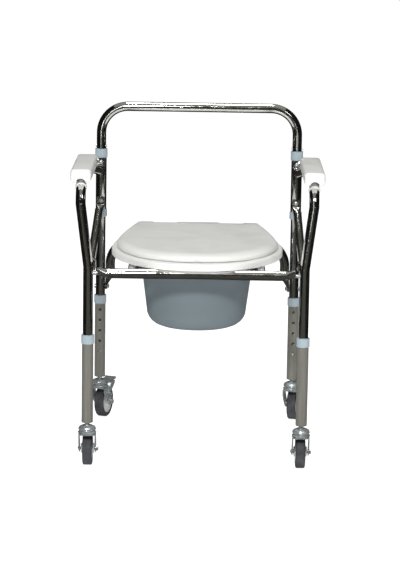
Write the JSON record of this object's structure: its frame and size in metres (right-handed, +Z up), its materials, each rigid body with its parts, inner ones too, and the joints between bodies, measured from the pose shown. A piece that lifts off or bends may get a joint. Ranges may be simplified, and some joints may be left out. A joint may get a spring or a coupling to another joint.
{
  "type": "commode chair",
  "caption": "Folding chromed steel commode chair with a lidded white seat, a slide-out bucket, moulded armrests and swivel casters on height-adjustable legs.",
  "frame": {"origin": "on the floor, under the middle of the chair's outline", "axes": "+X to the right as seen from the front, +Y from the front of the chair to its back, +Z up"},
  "size_m": [0.557, 0.5373, 0.7661],
  "materials": {
    "chrome": "bright chrome plate, mirror polish",
    "satin_steel": "satin grey-olive plated tube",
    "zinc": "bright bluish zinc plate",
    "white_plastic": "semi-gloss white, very fine grain",
    "collar_plastic": "matt light blue-grey",
    "bucket_plastic": "matt blue-grey",
    "tyre_rubber": "matt dark grey",
    "wheel_plastic": "satin light grey",
    "bumper_rubber": "matt grey"
  },
  "bodies": {
    "frame": {"back_frame_tube": "chrome", "left_side_tube": "chrome", "right_side_tube": "chrome", "left_hinge_sleeve": "chrome", "right_hinge_sleeve": "chrome", "hinge_sleeve_collars": "collar_plastic", "left_brace": "chrome", "right_brace": "chrome", "left_arm_pad": "white_plastic", "right_arm_pad": "white_plastic", "arm_pad_rings": "white_plastic", "frame_rivets": "zinc", "seat_pivot_bolts": "zinc"},
    "seat_frame": {"front_rail": "chrome", "left_seat_rail": "chrome", "right_seat_rail": "chrome", "rear_arch": "chrome", "bucket_runners": "zinc", "hinge_brackets": "white_plastic", "hinge_pins": "zinc"},
    "seat_ring": {"seat_ring": "white_plastic", "seat_bumpers": "bumper_rubber"},
    "lid": {"lid": "white_plastic", "lid_bumpers": "bumper_rubber"},
    "bucket": {"bucket": "bucket_plastic"},
    "front_left_leg": {"front_left_leg": "satin_steel", "front_left_bushes": "collar_plastic", "front_left_caster_top": "zinc"},
    "front_left_button": {"front_left_snap_button": "zinc"},
    "front_left_fork": {"front_left_fork": "zinc", "front_left_axle": "zinc"},
    "front_left_wheel": {"front_left_hub": "wheel_plastic", "front_left_tyre": "tyre_rubber"},
    "front_right_leg": {"front_right_leg": "satin_steel", "front_right_bushes": "collar_plastic", "front_right_caster_top": "zinc"},
    "front_right_button": {"front_right_snap_button": "zinc"},
    "front_right_fork": {"front_right_fork": "zinc", "front_right_axle": "zinc"},
    "front_right_wheel": {"front_right_hub": "wheel_plastic", "front_right_tyre": "tyre_rubber"},
    "rear_left_leg": {"rear_left_leg": "satin_steel", "rear_left_bushes": "collar_plastic", "rear_left_caster_top": "zinc"},
    "rear_left_button": {"rear_left_snap_button": "zinc"},
    "rear_left_fork": {"rear_left_fork": "zinc", "rear_left_axle": "zinc"},
    "rear_left_wheel": {"rear_left_hub": "wheel_plastic", "rear_left_tyre": "tyre_rubber"},
    "rear_left_pedal": {"rear_left_brake_pedal": "zinc"},
    "rear_right_leg": {"rear_right_leg": "satin_steel", "rear_right_bushes": "collar_plastic", "rear_right_caster_top": "zinc"},
    "rear_right_button": {"rear_right_snap_button": "zinc"},
    "rear_right_fork": {"rear_right_fork": "zinc", "rear_right_axle": "zinc"},
    "rear_right_wheel": {"rear_right_hub": "wheel_plastic", "rear_right_tyre": "tyre_rubber"},
    "rear_right_pedal": {"rear_right_brake_pedal": "zinc"}
  },
  "joints": [
    {"name": "seat_frame_fold", "type": "hinge", "parent": "frame", "child": "seat_frame", "pos_m": [0, 0.1953, 0.325], "axis": [-1, 0, 0], "range_deg": [0, 65]},
    {"name": "seat_ring_lift", "type": "hinge", "parent": "seat_frame", "child": "seat_ring", "pos_m": [0, 0.1593, 0.4702], "axis": [1, 0, 0], "range_deg": [-91, 0]},
    {"name": "lid_lift", "type": "hinge", "parent": "seat_ring", "child": "lid", "pos_m": [0, 0.1593, 0.4702], "axis": [-1, 0, 0], "range_deg": [0, 91]},
    {"name": "bucket_slide", "type": "slide", "parent": "seat_frame", "child": "bucket", "axis": [0, -1, 0], "range_m": [-0.3, 0]},
    {"name": "front_left_leg_extend", "type": "slide", "parent": "frame", "child": "front_left_leg", "axis": [0, 0, -1], "range_m": [0, 0.1016], "deforming": ["front_left_snap_button"]},
    {"name": "front_left_button_press", "type": "slide", "parent": "frame", "child": "front_left_button", "axis": [0, -1, 0], "range_m": [0, 0.004], "stiffness_N_per_m": 1500, "springref_m": -0.002},
    {"name": "front_left_caster_swivel", "type": "hinge", "parent": "front_left_leg", "child": "front_left_fork", "pos_m": [-0.238, -0.2447, 0.09], "axis": [0, 0, 1], "continuous": true},
    {"name": "front_left_wheel_spin", "type": "hinge", "parent": "front_left_fork", "child": "front_left_wheel", "pos_m": [-0.238, -0.2167, 0.0375], "axis": [1, 0, 0], "continuous": true},
    {"name": "front_right_leg_extend", "type": "slide", "parent": "frame", "child": "front_right_leg", "axis": [0, 0, -1], "range_m": [0, 0.1016], "deforming": ["front_right_snap_button"]},
    {"name": "front_right_button_press", "type": "slide", "parent": "frame", "child": "front_right_button", "axis": [0, -1, 0], "range_m": [0, 0.004], "stiffness_N_per_m": 1500, "springref_m": -0.002},
    {"name": "front_right_caster_swivel", "type": "hinge", "parent": "front_right_leg", "child": "front_right_fork", "pos_m": [0.238, -0.2447, 0.09], "axis": [0, 0, 1], "continuous": true},
    {"name": "front_right_wheel_spin", "type": "hinge", "parent": "front_right_fork", "child": "front_right_wheel", "pos_m": [0.238, -0.2167, 0.0375], "axis": [1, 0, 0], "continuous": true},
    {"name": "rear_left_leg_extend", "type": "slide", "parent": "frame", "child": "rear_left_leg", "axis": [0, 0, -1], "range_m": [0, 0.1016], "deforming": ["rear_left_snap_button"]},
    {"name": "rear_left_button_press", "type": "slide", "parent": "frame", "child": "rear_left_button", "axis": [0, 1, 0], "range_m": [0, 0.004], "stiffness_N_per_m": 1500, "springref_m": -0.002},
    {"name": "rear_left_caster_swivel", "type": "hinge", "parent": "rear_left_leg", "child": "rear_left_fork", "pos_m": [-0.23, 0.1953, 0.09], "axis": [0, 0, 1], "continuous": true},
    {"name": "rear_left_wheel_spin", "type": "hinge", "parent": "rear_left_fork", "child": "rear_left_wheel", "pos_m": [-0.22088, 0.22177, 0.0375], "axis": [0.9455, -0.3256, 0], "continuous": true},
    {"name": "rear_left_brake_press", "type": "hinge", "parent": "rear_left_fork", "child": "rear_left_pedal", "pos_m": [-0.22674, 0.20475, 0.062], "axis": [0.9455, -0.3256, 0], "range_deg": [-10, 0]},
    {"name": "rear_right_leg_extend", "type": "slide", "parent": "frame", "child": "rear_right_leg", "axis": [0, 0, -1], "range_m": [0, 0.1016], "deforming": ["rear_right_snap_button"]},
    {"name": "rear_right_button_press", "type": "slide", "parent": "frame", "child": "rear_right_button", "axis": [0, 1, 0], "range_m": [0, 0.004], "stiffness_N_per_m": 1500, "springref_m": -0.002},
    {"name": "rear_right_caster_swivel", "type": "hinge", "parent": "rear_right_leg", "child": "rear_right_fork", "pos_m": [0.23, 0.1953, 0.09], "axis": [0, 0, 1], "continuous": true},
    {"name": "rear_right_wheel_spin", "type": "hinge", "parent": "rear_right_fork", "child": "rear_right_wheel", "pos_m": [0.23582, 0.22269, 0.0375], "axis": [0.9781, -0.2079, 0], "continuous": true},
    {"name": "rear_right_brake_press", "type": "hinge", "parent": "rear_right_fork", "child": "rear_right_pedal", "pos_m": [0.23208, 0.20508, 0.062], "axis": [0.9781, -0.2079, 0], "range_deg": [-10, 0]}
  ]
}
